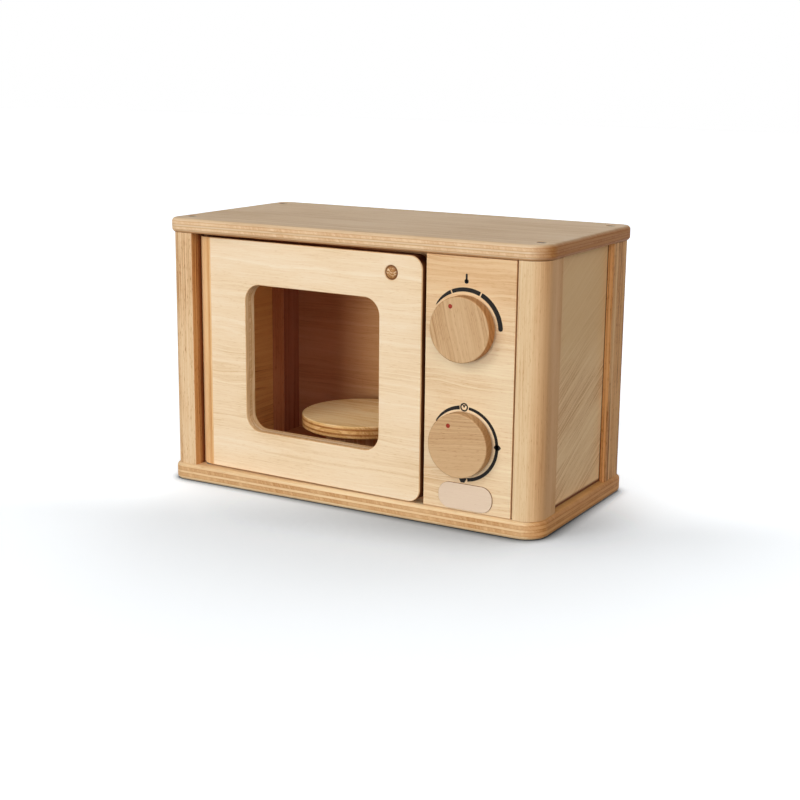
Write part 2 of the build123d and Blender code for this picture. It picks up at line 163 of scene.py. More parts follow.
birchBase = dict(birchTop, streaks=("#CFA474", "#E6C496", "#F0D4A8"),
                 crossStreaks=("#CB9A68", "#DEB687", "#EACA9C"), endGrain=("#BE8C58", "#DAB080"),
                 insideShade=None, sideShade="#F5D7B3",
                 shades=(("#BE8A70", cavityFloorShade), ("#F5DAB3", rightLedge)))
# The side panels' birch is darker and warmer than the face birch: partly the veneer's own tone, partly
# painted warm shade
birchSide = dict(birchFace, streaks=("#C4925A", "#E9C189", "#F2D09A"), insideShade="#F4D3AC", figureShare=0.6,
                 figureSpacing=4.5, figureWave=7.0, figureRun=120.0, lineShare=0.34,
                 calm=(105.0, 150.0, 0.35))
birchRight = dict(birchSide, streaks=("#D09C6C", "#F0C794", "#FAD6A4"), figureSpacing=3.4,
                  shades=(("#6E4426", wallFootShade), ("#6E4426", wallEndShade), ("#F4F0E7", wallTop)))
birchInner = dict(birchFace, streaks=("#C79562", "#DDB07C", "#E9C294"), insideShade="#E2D6C4",
                  figureShare=0.4)
birchBack = dict(birchInner, shades=(("#EDC9D2", backLeftShade),))
birchTable = dict(birchFace, streaks=("#D2A462", "#F4D094", "#FCE4B8"),
                  crossStreaks=("#8C5628", "#A8743E", "#B4804A"), endGrain=("#A87440", "#C0905A"),
                  figureShare=0.7, fibreShare=0.9, shades=(("#E8D8C4", tableRim),))
plateFace = dict(birchFace, streaks=("#D5B89C", "#E1C8AE", "#E8D2BA"), figureShare=0.15, fibreShare=0.3,
                 lineShare=0.0, cloudShare=0.2, roughness=0.6, edgeTint=("#7A5236", 0.85, 0.6))

# Solid rubberwood under the same lacquer: warmer than the birch, with straight streaks and short dark pores
rubberPost = {
    "streaks": ("#BE8A55", "#DEBA8D", "#EBCDA4"),
    "endGrain": ("#9A6A3B", "#BE905F"),
    "insideShade": "#F0CDA8",
    "sideShade": "#F6DCC4",
    "edgeTint": None,
    "calm": None,
    "shades": (),
    "figureSpacing": 3.2,
    "figureWave": 1.6,
    "figureRun": 150.0,
    "figureShare": 0.60,
    "lineShare": 0.30,
    "fibreWidth": 0.8,
    "fibreLength": 34.0,
    "fibreShare": 0.65,
    "poreShare": 0.3,
    "cloudShare": 0.40,
    "roughness": 0.55,
    "grainDepth": 0.04,
}
rubberFrontLeft = dict(rubberPost, streaks=("#A8703A", "#E1BB8E", "#EED4AD"), sideShade="#F2CEB0",
                       insideShade="#F2F8EC", figureShare=0.4, figureSpacing=2.2,
                       shades=(("#B28A70", postRevealShade),))
rubberFrontRight = dict(rubberPost, streaks=("#BE8A55", "#DFBE92", "#ECD1A9"), figureShare=0.36,
                        lineShare=0.12, fibreShare=0.45, poreShare=0.18)
rubberBackLeft = dict(rubberPost, sideShade="#D0BCC4", insideShade="#DEAE9C")
rubberBackRight = dict(rubberPost, streaks=("#90561F", "#E4B684", "#F0D2AA"), sideShade="#F2DDBC",
                       insideShade="#FBE2C0", figureShare=0.95, figureSpacing=2.4, lineShare=0.5)
rubberKnob = dict(rubberPost, streaks=("#AE8154", "#CBA478", "#D8B58A"), sideShade=None, figureSpacing=2.6,
                  figureWave=2.6, figureRun=60.0, figureShare=0.32, lineShare=0.2, fibreShare=0.4)
rubberKnobStreaked = dict(rubberKnob, sideShade="#F8D6AC", figureShare=0.5, lineShare=0.34)
# The plug's dark rim, from its edge tint, is painted shade in the groove round it
rubberPlug = dict(rubberKnob, streaks=("#86521F", "#BA8650", "#F0D6B0"), endGrain=("#9C6438", "#D2A070"),
                  edgeTint=("#6E4220", 0.96, 0.915), figureSpacing=1.6, figureWave=3.0, figureRun=4.0,
                  figureShare=1.3, fibreWidth=0.9, fibreLength=1.4, fibreShare=0.9, cloudShare=0.2)
pinWood = dict(rubberPost, streaks=("#4E3018", "#644022", "#74502E"), endGrain=("#4E3018", "#644022"))
rubberHidden = dict(rubberPost, streaks=("#B27F4C", "#CDA074", "#DFBA8C"), sideShade=None)

# What all the woods share
woodPattern = {
    "bendWidth": 22.0,             # mm across the grain between two bends of the growth lines
    "lean": 0.45,                  # how far the growth layers lean over through the thickness
    "lineReach": 0.05,             # half width of a late-wood line, in the value of the growth pattern
    "lineFades": (0.40, 0.62),     # cloud value where the late-wood lines start to fade and have faded
    "lineLeft": 0.15,
    "poreLength": 4.5,             # mm
    "poreWidth": 0.55,             # mm: real pores are finer, drawn as coarse as they show
    "poreStops": (0.60, 0.76),
    "cloudLength": 95.0,           # mm between slow changes of tone, along the grain and across it
    "cloudWidth": 24.0,
    "middleTone": 0.56,
    "calmTone": 0.52,              # the even tone that a faded figure comes to
    "streakStops": (0.18, 0.5, 0.82),
    "endGrainStops": (0.3, 0.7),
    "endGrainFacing": (0.35, 0.95),
    "sideFacing": (0.25, 0.95),
    "insideFacing": (0.35, 0.65),
    "glueHalf": 0.4,               # mm: glue lines are about 0.2 mm thick, drawn wider so that they show
    "glueColour": "#E4CBB0",
    "shineTones": (0.2, 0.8),
    "shineSpread": (0.07, -0.05),  # added to the roughness, on dark streaks and on light ones
    "reliefStrength": 0.5,
}
lacquer = {"IOR": 1.5, "Specular IOR Level": 0.2}


def grainNoise(tree, place, length, width, settings):
    # Noise in patches of that length along the grain and that width across it, in mm
    scale = (1 / length, 1 / width, 1 / width)
    stretched = addNode(tree, "VectorMath", {"operation": "MULTIPLY", 1: scale}, {0: place})
    return addNode(tree, "TexNoise", dict(settings, Scale=1.0), {"Vector": stretched})


def turnPlies(tree, wood, plies, span, inMm, sides):
    # Every other veneer lies crossways. Gives the share that is turned, the place along the grain, how much
    # a face looks along the grain, and the glue lines.
    low, high = span
    parts = addNode(tree, "SeparateXYZ", {}, {0: inMm})
    depth = addNode(tree, "MapRange", {1: low * perMm, 2: high * perMm}, {0: parts.outputs[2]})
    turnStops = [(0.0, "#000000")]
    turnStops += [(edge, "#FFFFFF" if i % 2 == 0 else "#000000") for i, edge in enumerate(plies)]
    turned = addNode(tree, "ValToRGB", {"blendMode": "CONSTANT", "stops": turnStops}, {0: depth})
    if wood["faceEnds"]:
        cutAway = addNode(tree, "Math", {"operation": "LESS_THAN", 1: wood["faceEnds"]},
                          {0: parts.outputs[0]})
        turned = addNode(tree, "Math", {"operation": "MAXIMUM"}, {0: turned, 1: cutAway})
    glueHalf = woodPattern["glueHalf"] * mm / (high - low)
    glueStops = []
    for edge in plies:
        glueStops += [(edge - glueHalf, "#FFFFFF"), (edge, woodPattern["glueColour"]),
                      (edge + glueHalf, "#FFFFFF")]
    glue = addNode(tree, "ValToRGB", {"stops": glueStops}, {0: depth})
    swapped = addNode(tree, "CombineXYZ", {}, {0: parts.outputs[1], 1: parts.outputs[0], 2: parts.outputs[2]})
    place = addNode(tree, "Mix", {"data_type": "VECTOR"}, {0: turned, 4: inMm, 5: swapped}).outputs[1]
    endOn = addNode(tree, "Mix", {}, {0: turned, 2: sides.outputs[0], 3: sides.outputs[1]}).outputs[0]
    return turned, place, endOn, glue


def growTone(tree, wood, place, coordinates):
    # Growth lines that bend slowly
    bend = grainNoise(tree, place, wood["figureRun"], woodPattern["bendWidth"],
                      {"Detail": 2.0, "Roughness": 0.45})
    bendBy = addNode(tree, "Math", {"operation": "MULTIPLY_ADD", 1: 2 * wood["figureWave"],
                                    2: -wood["figureWave"]}, {0: bend})
    across = addNode(tree, "SeparateXYZ", {}, {0: place})
    leaning = addNode(tree, "Math", {"operation": "MULTIPLY_ADD", 1: woodPattern["lean"]},
                      {0: across.outputs[2], 2: across.outputs[1]})
    bent = addNode(tree, "Math", {"operation": "ADD"}, {0: leaning, 1: bendBy})
    ringPlace = addNode(tree, "Math", {"operation": "DIVIDE", 1: wood["figureSpacing"]}, {0: bent})
    rings = addNode(tree, "TexNoise", {"noise_dimensions": "1D", "Scale": 1.0, "Detail": 3.0,
                                       "Roughness": 0.6}, {"W": ringPlace})
    # Fibres, pores and slow changes of tone
    fibres = grainNoise(tree, place, wood["fibreLength"], wood["fibreWidth"],
                        {"Detail": 3.0, "Roughness": 0.6, "Distortion": 0.4})
    pores = grainNoise(tree, place, woodPattern["poreLength"], woodPattern["poreWidth"], {"Detail": 1.0})
    poreStart, poreFull = woodPattern["poreStops"]
    pores = addNode(tree, "MapRange", {1: poreStart, 2: poreFull}, {0: pores})
    clouds = grainNoise(tree, place, woodPattern["cloudLength"], woodPattern["cloudWidth"], {"Detail": 2.0})
    # Late-wood lines: thin dark lines where the growth pattern crosses its middle, strong in some places only
    fromMiddle = addNode(tree, "Math", {"operation": "SUBTRACT", 1: 0.5}, {0: rings})
    fromMiddle = addNode(tree, "Math", {"operation": "ABSOLUTE"}, {0: fromMiddle})
    lines = addNode(tree, "MapRange", {2: woodPattern["lineReach"], 3: 1.0, 4: 0.0}, {0: fromMiddle})
    fadeStart, fadeEnd = woodPattern["lineFades"]
    lineFade = addNode(tree, "MapRange", {1: fadeStart, 2: fadeEnd, 3: wood["lineShare"],
                                          4: woodPattern["lineLeft"] * wood["lineShare"]}, {0: clouds})
    lines = addNode(tree, "Math", {"operation": "MULTIPLY"}, {0: lines, 1: lineFade})

    tone = addNode(tree, "Math", {"operation": "MULTIPLY_ADD", 1: wood["figureShare"],
                                  2: woodPattern["middleTone"] - wood["figureShare"] / 2}, {0: rings})
    tone = addNode(tree, "Math", {"operation": "MULTIPLY_ADD", 1: wood["fibreShare"]}, {0: fibres, 2: tone})
    tone = addNode(tree, "Math", {"operation": "MULTIPLY_ADD", 1: wood["cloudShare"]}, {0: clouds, 2: tone})
    tone = addNode(tree, "Math", {"operation": "SUBTRACT", 1: (wood["fibreShare"] + wood["cloudShare"]) / 2},
                   {0: tone})
    tone = addNode(tree, "Math", {"operation": "MULTIPLY_ADD", 1: -wood["poreShare"]}, {0: pores, 2: tone})
    tone = addNode(tree, "Math", {"operation": "SUBTRACT"}, {0: tone, 1: lines})
    if wood["calm"]:
        start, end, left = wood["calm"]
        height = addNode(tree, "SeparateXYZ", {}, {0: coordinates.outputs["Object"]}).outputs[2]
        figureLeft = addNode(tree, "MapRange", {1: start * mm, 2: end * mm, 3: 1.0, 4: left}, {0: height})
        centred = addNode(tree, "Math", {"operation": "SUBTRACT", 1: woodPattern["calmTone"]}, {0: tone})
        tone = addNode(tree, "Math", {"operation": "MULTIPLY_ADD", 2: woodPattern["calmTone"]},
                       {0: centred, 1: figureLeft})
    return tone


def tintFaces(tree, wood, colour, coordinates, inside):
    # Multiplies in the listed shades, and the painted shade on faces that look to the right and into the toy
    tints = list(wood["shades"])
    if wood["sideShade"]:
        tints.append((wood["sideShade"], (("Normal", rightWay) + woodPattern["sideFacing"],)))
    if wood["insideShade"] and inside:
        tints.append((wood["insideShade"], (("Normal", inside) + woodPattern["insideFacing"],)))
    for tint, conditions in tints:
        share = None
        for source, axis, start, full in conditions:
            reach = addNode(tree, "VectorMath", {"operation": "DOT_PRODUCT", 1: axis},
                            {0: coordinates.outputs[source]})
            reach = addNode(tree, "MapRange", {1: start, 2: full}, {0: reach.outputs[1]})
            if share is None:
                share = reach
            else:
                share = addNode(tree, "Math", {"operation": "MULTIPLY"}, {0: share, 1: reach})
        colour = addNode(tree, "Mix", {"data_type": "RGBA", "blend_type": "MULTIPLY", 7: toLinear(tint)},
                         {0: share, 6: colour}).outputs[2]
    return colour


def makeWood(name, wood, grain, normal, plies=(), span=(0.0, 1.0), inside=None, shift=(0.0, 0.0, 0.0)):
    # Solid pattern: x runs along the grain and z through the thickness, where the plies change direction
    material, tree = newMaterial(name)
    turn = Matrix((grain, normal.cross(grain), normal)).to_euler("XYZ")
    coordinates = addNode(tree, "TexCoord")
    place = addNode(tree, "Mapping", {"Rotation": turn}, {"Vector": coordinates.outputs["Object"]})
    facing = addNode(tree, "Mapping", {"vector_type": "VECTOR", "Rotation": turn},
                     {"Vector": coordinates.outputs["Normal"]})
    inMm = addNode(tree, "VectorMath", {"operation": "SCALE", "Scale": perMm}, {0: place})
    sides = addNode(tree, "SeparateXYZ", {}, {0: facing})
    grainPlace, endOn = inMm, sides.outputs[0]
    if plies:
        turned, grainPlace, endOn, glue = turnPlies(tree, wood, plies, span, inMm, sides)
    moved = addNode(tree, "VectorMath", {"operation": "ADD", 1: shift}, {0: grainPlace})
    tone = growTone(tree, wood, moved, coordinates)

    streaks = list(zip(woodPattern["streakStops"], wood["streaks"]))
    colour = addNode(tree, "ValToRGB", {"stops": streaks}, {0: tone}).outputs[0]
    if plies:
        streaks = list(zip(woodPattern["streakStops"], wood["crossStreaks"]))
        crossColour = addNode(tree, "ValToRGB", {"stops": streaks}, {0: tone})
        colour = addNode(tree, "Mix", {"data_type": "RGBA"},
                         {0: turned, 6: colour, 7: crossColour}).outputs[2]
    endStops = list(zip(woodPattern["endGrainStops"], wood["endGrain"]))
    endColour = addNode(tree, "ValToRGB", {"stops": endStops}, {0: tone})
    endStart, endFull = woodPattern["endGrainFacing"]
    endSize = addNode(tree, "Math", {"operation": "ABSOLUTE"}, {0: endOn})
    endShare = addNode(tree, "MapRange", {1: endStart, 2: endFull}, {0: endSize})
    colour = addNode(tree, "Mix", {"data_type": "RGBA"}, {0: endShare, 6: colour, 7: endColour}).outputs[2]
    if plies:
        colour = addNode(tree, "Mix", {"data_type": "RGBA", "blend_type": "MULTIPLY", 0: 1.0},
                         {6: colour, 7: glue}).outputs[2]
    if wood["edgeTint"]:
        # Darker where the face turns into the edge: painted shade in the groove round the magnet plug, and a
        # dark rim round the badge plate
        tint, start, full = wood["edgeTint"]
        throughSize = addNode(tree, "Math", {"operation": "ABSOLUTE"}, {0: sides.outputs[2]})
        edgeShare = addNode(tree, "MapRange", {1: full, 2: start, 3: 1.0, 4: 0.0}, {0: throughSize})
        colour = addNode(tree, "Mix", {"data_type": "RGBA", 7: toLinear(tint)},
                         {0: edgeShare, 6: colour}).outputs[2]
    colour = tintFaces(tree, wood, colour, coordinates, inside)
    darkTone, lightTone = woodPattern["shineTones"]
    darkShine, lightShine = (wood["roughness"] + change for change in woodPattern["shineSpread"])
    shine = addNode(tree, "MapRange", {1: darkTone, 2: lightTone, 3: darkShine, 4: lightShine}, {0: tone})
    relief = addNode(tree, "Bump", {"Strength": woodPattern["reliefStrength"],
                                    "Distance": wood["grainDepth"] * mm}, {"Height": tone})
    finishMaterial(tree, lacquer, {"Base Color": colour, "Roughness": shine, "Normal": relief})
    return material


# Plywood pieces. The plies change direction at these shares of the thickness. The door and the control panel
# have thin face veneers.
boardPlies = (0.22, 0.42, 0.58, 0.78)
turntablePlies = (0.26, 0.38, 0.66, 0.78)
doorPlies = (0.004, 0.36, 0.64, 0.996)
panelPlies = (0.02, 0.36, 0.64, 0.98)
wallPlies = (0.33, 0.67)
sideTilt = math.radians(27)  # the right side panel's grain rises towards the back
sideGrain = Vector((0, math.cos(sideTilt), math.sin(sideTilt)))
plywood = {  # node: finish, grain, way through the thickness, plies, way into the toy
    "base_board": (birchBase, rightWay, upWay, boardPlies, None),
    "top_board": (birchTop, rightWay, upWay, boardPlies, -upWay),
    "door_panel": (birchDoor, doorRight, doorBack, doorPlies, None),
    "control_panel": (birchControl, rightWay, backWay, panelPlies, None),
    "back_panel": (birchBack, rightWay, backWay, wallPlies, -backWay),
    "left_side_panel": (birchSide, backWay, rightWay, wallPlies, rightWay),
    "right_side_panel": (birchRight, sideGrain, rightWay, wallPlies, -rightWay),
    "divider_panel": (birchInner, upWay, rightWay, wallPlies, -rightWay),
    "turntable_plate": (birchTable, rightWay, upWay, turntablePlies, None),
}
plywoodShift = Vector((61.0, 37.0, 0.0))  # mm between the patterns of two pieces
for count, (node, (wood, grain, normal, plies, inside)) in enumerate(plywood.items()):
    dressNode(node, makeWood("birchPlywood_" + node, wood, grain, normal, plies, thickness(node, normal),
                             inside, plywoodShift * count))
print("plywood pieces", len(plywood))

# Solid wood pieces
upperKnobTilt = math.radians(14)
upperKnobGrain = Vector((-math.sin(upperKnobTilt), 0, math.cos(upperKnobTilt)))
lowerKnobTilt = math.radians(6)
lowerKnobGrain = Vector((math.cos(lowerKnobTilt), 0, math.sin(lowerKnobTilt)))
diagonal = math.sqrt(0.5)
solidWood = {  # node: finish, grain, way through the thickness, way into the toy
    "front_left_post": (rubberFrontLeft, upWay, backWay, Vector((diagonal, diagonal, 0))),
    "front_right_post": (rubberFrontRight, upWay, backWay, Vector((-diagonal, diagonal, 0))),
    "back_left_post": (rubberBackLeft, upWay, backWay, Vector((diagonal, -diagonal, 0))),
    "back_right_post": (rubberBackRight, upWay, backWay, Vector((-diagonal, -diagonal, 0))),
    "temperature_knob": (rubberKnobStreaked, upperKnobGrain, backWay, None),
    "timer_knob": (rubberKnob, lowerKnobGrain, backWay, None),
    "magnet_plug": (rubberPlug, doorRight, doorBack, None),
    "turntable_pedestal": (rubberHidden, upWay, backWay, None),
    "turntable_spindle": (rubberHidden, upWay, backWay, None),
    "panel_dowels": (rubberHidden, upWay, backWay, None),
    "upper_hinge_pin": (pinWood, upWay, backWay, None),
    "lower_hinge_pin": (pinWood, upWay, backWay, None),
    "door_stop_block": (rubberHidden, rightWay, backWay, None),
    "temperature_spindle": (rubberHidden, backWay, upWay, None),
    "timer_spindle": (rubberHidden, backWay, upWay, None),
    "temperature_collar": (rubberHidden, rightWay, backWay, None),
    "timer_collar": (rubberHidden, rightWay, backWay, None),
    "badge_plate": (plateFace, rightWay, backWay, None),
}
solidShift = Vector((83.0, 29.0, 17.0))  # mm
for count, (node, (wood, grain, normal, inside)) in enumerate(solidWood.items()):
    dressNode(node, makeWood("rubberwood_" + node, wood, grain, normal, inside=inside,
                             shift=solidShift * count))
print("solid wood pieces", len(solidWood))

# Metal and felt
zincPlate = {
    "colours": ("#4A4844", "#6E6C66"),
    "roughness": (0.40, 0.54),
    "crystal": 0.6,  # mm
    "relief": 0.02,  # mm
}
nickelPlate = dict(zincPlate, colours=("#A6A39B", "#BEBBB2"), roughness=(0.14, 0.28))
feltSettings = {
    "colours": ("#4A433C", "#776E64"),
    "fibre": 0.5,   # mm
    "relief": 0.2,  # mm
}


def makePlating(name, plate):
    # Zinc or nickel plating: grey, with a fine mottle of crystals that breaks up the shine
    material, tree = newMaterial(name)
    coordinates = addNode(tree, "TexCoord")
    mottle = addNode(tree, "TexNoise", {"Scale": perMm / plate["crystal"], "Detail": 3.0},
                     {"Vector": coordinates.outputs["Object"]})
    dark, light = plate["colours"]
    tint = addNode(tree, "ValToRGB", {"stops": [(0.3, dark), (0.7, light)]}, {0: mottle})
    smooth, rough = plate["roughness"]
    shine = addNode(tree, "MapRange", {1: 0.3, 2: 0.7, 3: smooth, 4: rough}, {0: mottle})
    relief = addNode(tree, "Bump", {"Strength": 0.3, "Distance": plate["relief"] * mm}, {"Height": mottle})
    finishMaterial(tree, {"Metallic": 1.0}, {"Base Color": tint, "Roughness": shine, "Normal": relief})
    return material


def makeFelt(name):
    # Pressed wool felt: matte, with loose fibres that catch light at the edge
    material, tree = newMaterial(name)
    coordinates = addNode(tree, "TexCoord")
    fuzz = addNode(tree, "TexNoise",
                   {"Scale": perMm / feltSettings["fibre"], "Detail": 4.0, "Roughness": 0.7},
                   {"Vector": coordinates.outputs["Object"]})
    dark, light = feltSettings["colours"]
    tint = addNode(tree, "ValToRGB", {"stops": [(0.3, dark), (0.7, light)]}, {0: fuzz})
    relief = addNode(tree, "Bump", {"Strength": 0.8, "Distance": feltSettings["relief"] * mm},
                     {"Height": fuzz})
    finishMaterial(tree, {"Roughness": 0.95, "Sheen Weight": 0.3}, {"Base Color": tint, "Normal": relief})
    return material


zincSteel = makePlating("zincPlatedSteel", zincPlate)
nickel = makePlating("nickelPlatedMagnet", nickelPlate)
woolFelt = makeFelt("woolFelt")
fittings = {
    "top_screws": zincSteel,
    "base_screws": zincSteel,
    "striker_plate": zincSteel,
    "stop_block_screw": zincSteel,
    "temperature_collar_screw": zincSteel,
    "timer_collar_screw": zincSteel,
    "door_magnet": nickel,
    "temperature_felt_washer": woolFelt,
    "timer_felt_washer": woolFelt,
    "turntable_felt_washer": woolFelt,
    "hinge_washer": woolFelt,
}
for node, material in fittings.items():
    dressNode(node, material)
print("metal and felt pieces", len(fittings))

# Printed marks and painted dots
inkSettings = {"colours": ("#1E1916", "#120F0D"), "roughness": 0.6, "patch": 1.2}  # patch in mm
redSettings = {"colours": ("#A63C28", "#902818"), "roughness": 0.45, "patch": 1.2}


def makePaint(name, paint):
    # A thin pigment layer over wood: even colour that breaks up slightly with the grain under it
    material, tree = newMaterial(name)
    coordinates = addNode(tree, "TexCoord")
    wear = addNode(tree, "TexNoise", {"Scale": perMm / paint["patch"], "Detail": 3.0},
                   {"Vector": coordinates.outputs["Object"]})
    thin, full = paint["colours"]
    tint = addNode(tree, "ValToRGB", {"stops": [(0.3, thin), (0.6, full)]}, {0: wear})
    shine = addNode(tree, "MapRange", {3: paint["roughness"] + 0.08, 4: paint["roughness"] - 0.08}, {0: wear})
    finishMaterial(tree, lacquer, {"Base Color": tint, "Roughness": shine})
    return material


blackInk = makePaint("screenPrintInk", inkSettings)
redPaint = makePaint("redPaint", redSettings)
weldReach = 0.001  # mm between points that are joined into one


def addPiece(name, vertices, faces, material, body):
    mesh = bpy.data.meshes.new(name)
    mesh.from_pydata([tuple(v) for v in vertices], [], faces)
    mesh.materials.append(material)
    made = bmesh.new()
    made.from_mesh(mesh)
    bmesh.ops.remove_doubles(made, verts=made.verts, dist=weldReach * mm)
    bmesh.ops.recalc_face_normals(made, faces=made.faces)
    made.to_mesh(mesh)
    made.free()
    piece = bpy.data.objects.new(name, mesh)
    bpy.context.scene.collection.objects.link(piece)
    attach(piece, body)


def knobAxis(node):
    low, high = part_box(node)
    middle = (low + high) / 2
    return middle.x, middle.z


roundSteps = 8  # straight pieces in the half circle at the end of a stroke


def circlePoints(centre, radius, angles):
    return [(centre[0] + radius * math.cos(angle), centre[1] + radius * math.sin(angle)) for angle in angles]


def arcBand(radius, startAngle, endAngle, startWidth, endWidth, roundEnd=False):
    # Outline of a curved stroke about the origin, in mm, whose width grows quickly at first
    stepAngle, leastSteps, growth = 3, 8, 0.6
    steps = max(leastSteps, round(abs(endAngle - startAngle) / stepAngle))
    outer, inner = [], []
    for i in range(steps + 1):
        share = i / steps
        angle = math.radians(startAngle + (endAngle - startAngle) * share)
        half = (startWidth + (endWidth - startWidth) * share ** growth) / 2
        outer += circlePoints((0, 0), radius + half, [angle])
        inner += circlePoints((0, 0), radius - half, [angle])
    cap = []
    if roundEnd:
        turn = 1 if endAngle > startAngle else -1
        last = math.radians(endAngle)
        end = (radius * math.cos(last), radius * math.sin(last))
        angles = [last + turn * math.pi * i / roundSteps for i in range(1, roundSteps)]
        cap = circlePoints(end, endWidth / 2, angles)
    return outer + cap + inner[::-1]


def disc(centre, radius, count=24):
    return circlePoints(centre, radius, [2 * math.pi * i / count for i in range(count)])


def stroke(start, end, width):
    # Straight line with round ends
    a, b = Vector(start), Vector(end)
    direction = (b - a).angle_signed(Vector((1, 0)))
    points = []
    for centre, base in ((b, direction - math.pi / 2), (a, direction + math.pi / 2)):
        angles = [base + math.pi * i / roundSteps for i in range(roundSteps + 1)]
        points += circlePoints(centre, width / 2, angles)
    return points


def ringBand(centre, radius, width, count=32):
    # A closed ring as two half strokes
    halves = []
    for start in (0, math.pi):
        angles = [start + 2 * math.pi * i / count for i in range(count // 2 + 1)]
        inner = circlePoints(centre, radius - width / 2, angles)
        halves.append(circlePoints(centre, radius + width / 2, angles) + inner[::-1])
    return halves


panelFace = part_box("control_panel")[0].y
inkHeight = 0.05  # mm


def printMark(name, outlines, centre):
    # Flat plates of ink that stand a hair proud of the control panel
    vertices, faces = [], []
    for outline in outlines:
        start, count = len(vertices), len(outline)
        for y in (panelFace, panelFace - inkHeight * mm):
            vertices += [(centre[0] + x * mm, y, centre[1] + z * mm) for x, z in outline]
        faces.append(list(range(start, start + count)))
        faces.append(list(range(start + count, start + 2 * count))[::-1])
        for i in range(count):
            j = (i + 1) % count
            faces.append([start + i, start + j, start + count + j, start + count + i])
    addPiece(name, vertices, faces, blackInk, "housing")


def dialCentre(node, dial):
    x, z = knobAxis(node)
    return x + dial["centreShift"][0] * mm, z + dial["centreShift"][1] * mm


# Sizes and places of the marks are in mm from the dial's centre. An arc has its two angles in degrees, the
# width at each, and whether it ends round.
temperatureDial = {
    "centreShift": (-0.4, -0.5),  # mm from the knob's axis
    "radius": 28.0,
    "arcs": ((147, 114.4, 0.2, 2.8), (112.6, 66, 2.8, 3.1), (63.8, 5, 3.3, 3.6, True)),
    "bulb": (0.55, 33.8),
    "bulbRadius": 1.7,
    "stemTop": (0.55, 38.5),
    "stemWidth": 1.6,
}
centre = dialCentre("temperature_knob", temperatureDial)
arcs = [arcBand(temperatureDial["radius"], *arc) for arc in temperatureDial["arcs"]]
printMark("temperatureArcs", arcs, centre)
thermometer = [disc(temperatureDial["bulb"], temperatureDial["bulbRadius"]),
               stroke(temperatureDial["bulb"], temperatureDial["stemTop"], temperatureDial["stemWidth"])]
printMark("thermometerMark", thermometer, centre)

timerDial = {
    "centreShift": (0.2, -0.3),
    "radius": 26.7,
    "arcs": ((148, 97.5, 0.6, 2.9), (82, -82, 2.1, 2.6)),
    "clock": (0.0, 27.0),
    "clockRadius": 2.6,
    "clockLine": 1.1,
    "clockHands": ((-1.5, 1.6), (0, -0.7), (1.5, 1.6)),
    "diamond": (27.0, 0.7),
    "diamondHalf": (2.9, 2.5),
    "diamondCut": 0.62,   # the cut corners, as a share of the half sizes
    "pointer": (-0.1, -27.1),
    "pointerHalf": (3.4, 1.8),
    "pointerFoot": 0.45,  # the foot's width, as a share of the top's
}
centre = dialCentre("timer_knob", timerDial)
arcs = [arcBand(timerDial["radius"], *arc) for arc in timerDial["arcs"]]
printMark("timerArcs", arcs, centre)
clockX, clockZ = timerDial["clock"]
clock = ringBand(timerDial["clock"], timerDial["clockRadius"], timerDial["clockLine"])
clock.append([(clockX + dx, clockZ + dz) for dx, dz in timerDial["clockHands"]])
printMark("clockMark", clock, centre)
cx, cz = timerDial["diamond"]
dx, dz = timerDial["diamondHalf"]
cut = timerDial["diamondCut"]
diamond = [(cx + dx * across, cz + dz * up) for across, up in
           ((1, 0), (cut, cut), (0, 1), (-cut, cut), (-1, 0), (-cut, -cut), (0, -1), (cut, -cut))]
printMark("quarterMark", [diamond], centre)
cx, cz = timerDial["pointer"]
dx, dz = timerDial["pointerHalf"]
foot = dx * timerDial["pointerFoot"]
pointer = [(cx - dx, cz + dz), (cx - foot, cz - dz), (cx + foot, cz - dz), (cx + dx, cz + dz)]
printMark("halfMark", [pointer], centre)

knobDot = {"radius": 1.65, "rim": 0.05, "crown": 0.14, "rings": 4, "sides": 28}  # mm
dotPlaces = {"temperature_knob": (-7.2, 16.4), "timer_knob": (-7.3, 14.2)}  # mm from the knob's axis


def addDot(name, node, body):
    # A drop of paint: thin at the rim and slightly crowned
    x, z = knobAxis(node)
    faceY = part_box(node)[0].y
    dotX, dotZ = x + dotPlaces[node][0] * mm, z + dotPlaces[node][1] * mm
    sides, rings = knobDot["sides"], knobDot["rings"]
    turns = [2 * math.pi * i / sides for i in range(sides)]
    vertices = [(dotX, faceY - knobDot["crown"] * mm, dotZ)]
    for ring in range(1, rings + 1):
        share = ring / rings
        height = knobDot["rim"] + (knobDot["crown"] - knobDot["rim"]) * (1 - share ** 2)
        vertices += [(vx, faceY - height * mm, vz)
                     for vx, vz in circlePoints((dotX, dotZ), knobDot["radius"] * share * mm, turns)]
    foot = len(vertices)
    vertices += [(vx, faceY, vz) for vx, _, vz in vertices[-sides:]]
    faces = [[0, 1 + i, 1 + (i + 1) % sides] for i in range(sides)]
    for ring in range(rings):
        start = 1 + ring * sides
        for i in range(sides):
            j = (i + 1) % sides
            faces.append([start + i, start + sides + i, start + sides + j, start + j])
    faces.append(list(range(foot, foot + sides)))
    addPiece(name, vertices, faces, redPaint, body)


addDot("temperatureDot", "temperature_knob", "temperature_control")
addDot("timerDot", "timer_knob", "timer_control")
print("printed marks and dots are on")

